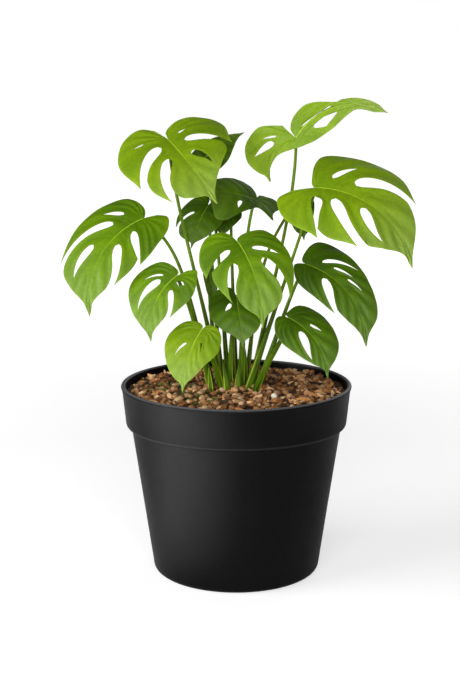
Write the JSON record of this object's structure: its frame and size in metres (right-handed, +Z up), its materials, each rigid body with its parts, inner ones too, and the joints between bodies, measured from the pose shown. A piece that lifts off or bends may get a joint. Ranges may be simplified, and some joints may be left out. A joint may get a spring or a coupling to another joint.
{
  "type": "potted monstera plant",
  "caption": "Young split-leaf monstera plant standing in bark substrate in a tapered round plastic pot with a collar rim.",
  "frame": {"origin": "centre of the pot's underside, on the surface that the pot stands on", "axes": "+Z up along the pot's axis, -Y towards the viewer of the picture, +X to that viewer's right"},
  "size_m": [0.254, 0.17, 0.3486],
  "materials": {
    "black_plastic": "satin",
    "bark": "matte",
    "leaf_bright": "satin",
    "leaf_mid": "satin",
    "leaf_deep": "satin",
    "stalk_green": "satin"
  },
  "bodies": {
    "root": {"pot": "black_plastic", "substrate": "bark", "upper_left_blade": "leaf_bright", "upper_right_blade": "leaf_bright", "right_blade": "leaf_bright", "left_blade": "leaf_mid", "centre_blade": "leaf_mid", "lower_left_blade": "leaf_mid", "lower_right_blade": "leaf_deep", "front_left_blade": "leaf_bright", "front_right_blade": "leaf_deep", "inner_blade": "leaf_deep", "back_top_blade": "leaf_deep", "back_left_blade": "leaf_deep", "behind_left_blade": "leaf_deep", "behind_right_blade": "leaf_deep", "behind_centre_blade": "leaf_deep", "young_left_blade": "leaf_deep", "upper_left_stalk": "stalk_green", "upper_right_stalk": "stalk_green", "right_stalk": "stalk_green", "left_stalk": "stalk_green", "centre_stalk": "stalk_green", "lower_left_stalk": "stalk_green", "lower_right_stalk": "stalk_green", "front_left_stalk": "stalk_green", "front_right_stalk": "stalk_green", "inner_stalk": "stalk_green", "back_top_stalk": "stalk_green", "back_left_stalk": "stalk_green", "behind_left_stalk": "stalk_green", "behind_right_stalk": "stalk_green", "behind_centre_stalk": "stalk_green", "young_left_stalk": "stalk_green", "shoot_front": "stalk_green", "shoot_left": "stalk_green", "shoot_far_left": "stalk_green", "shoot_back": "stalk_green"}
  },
  "joints": []
}
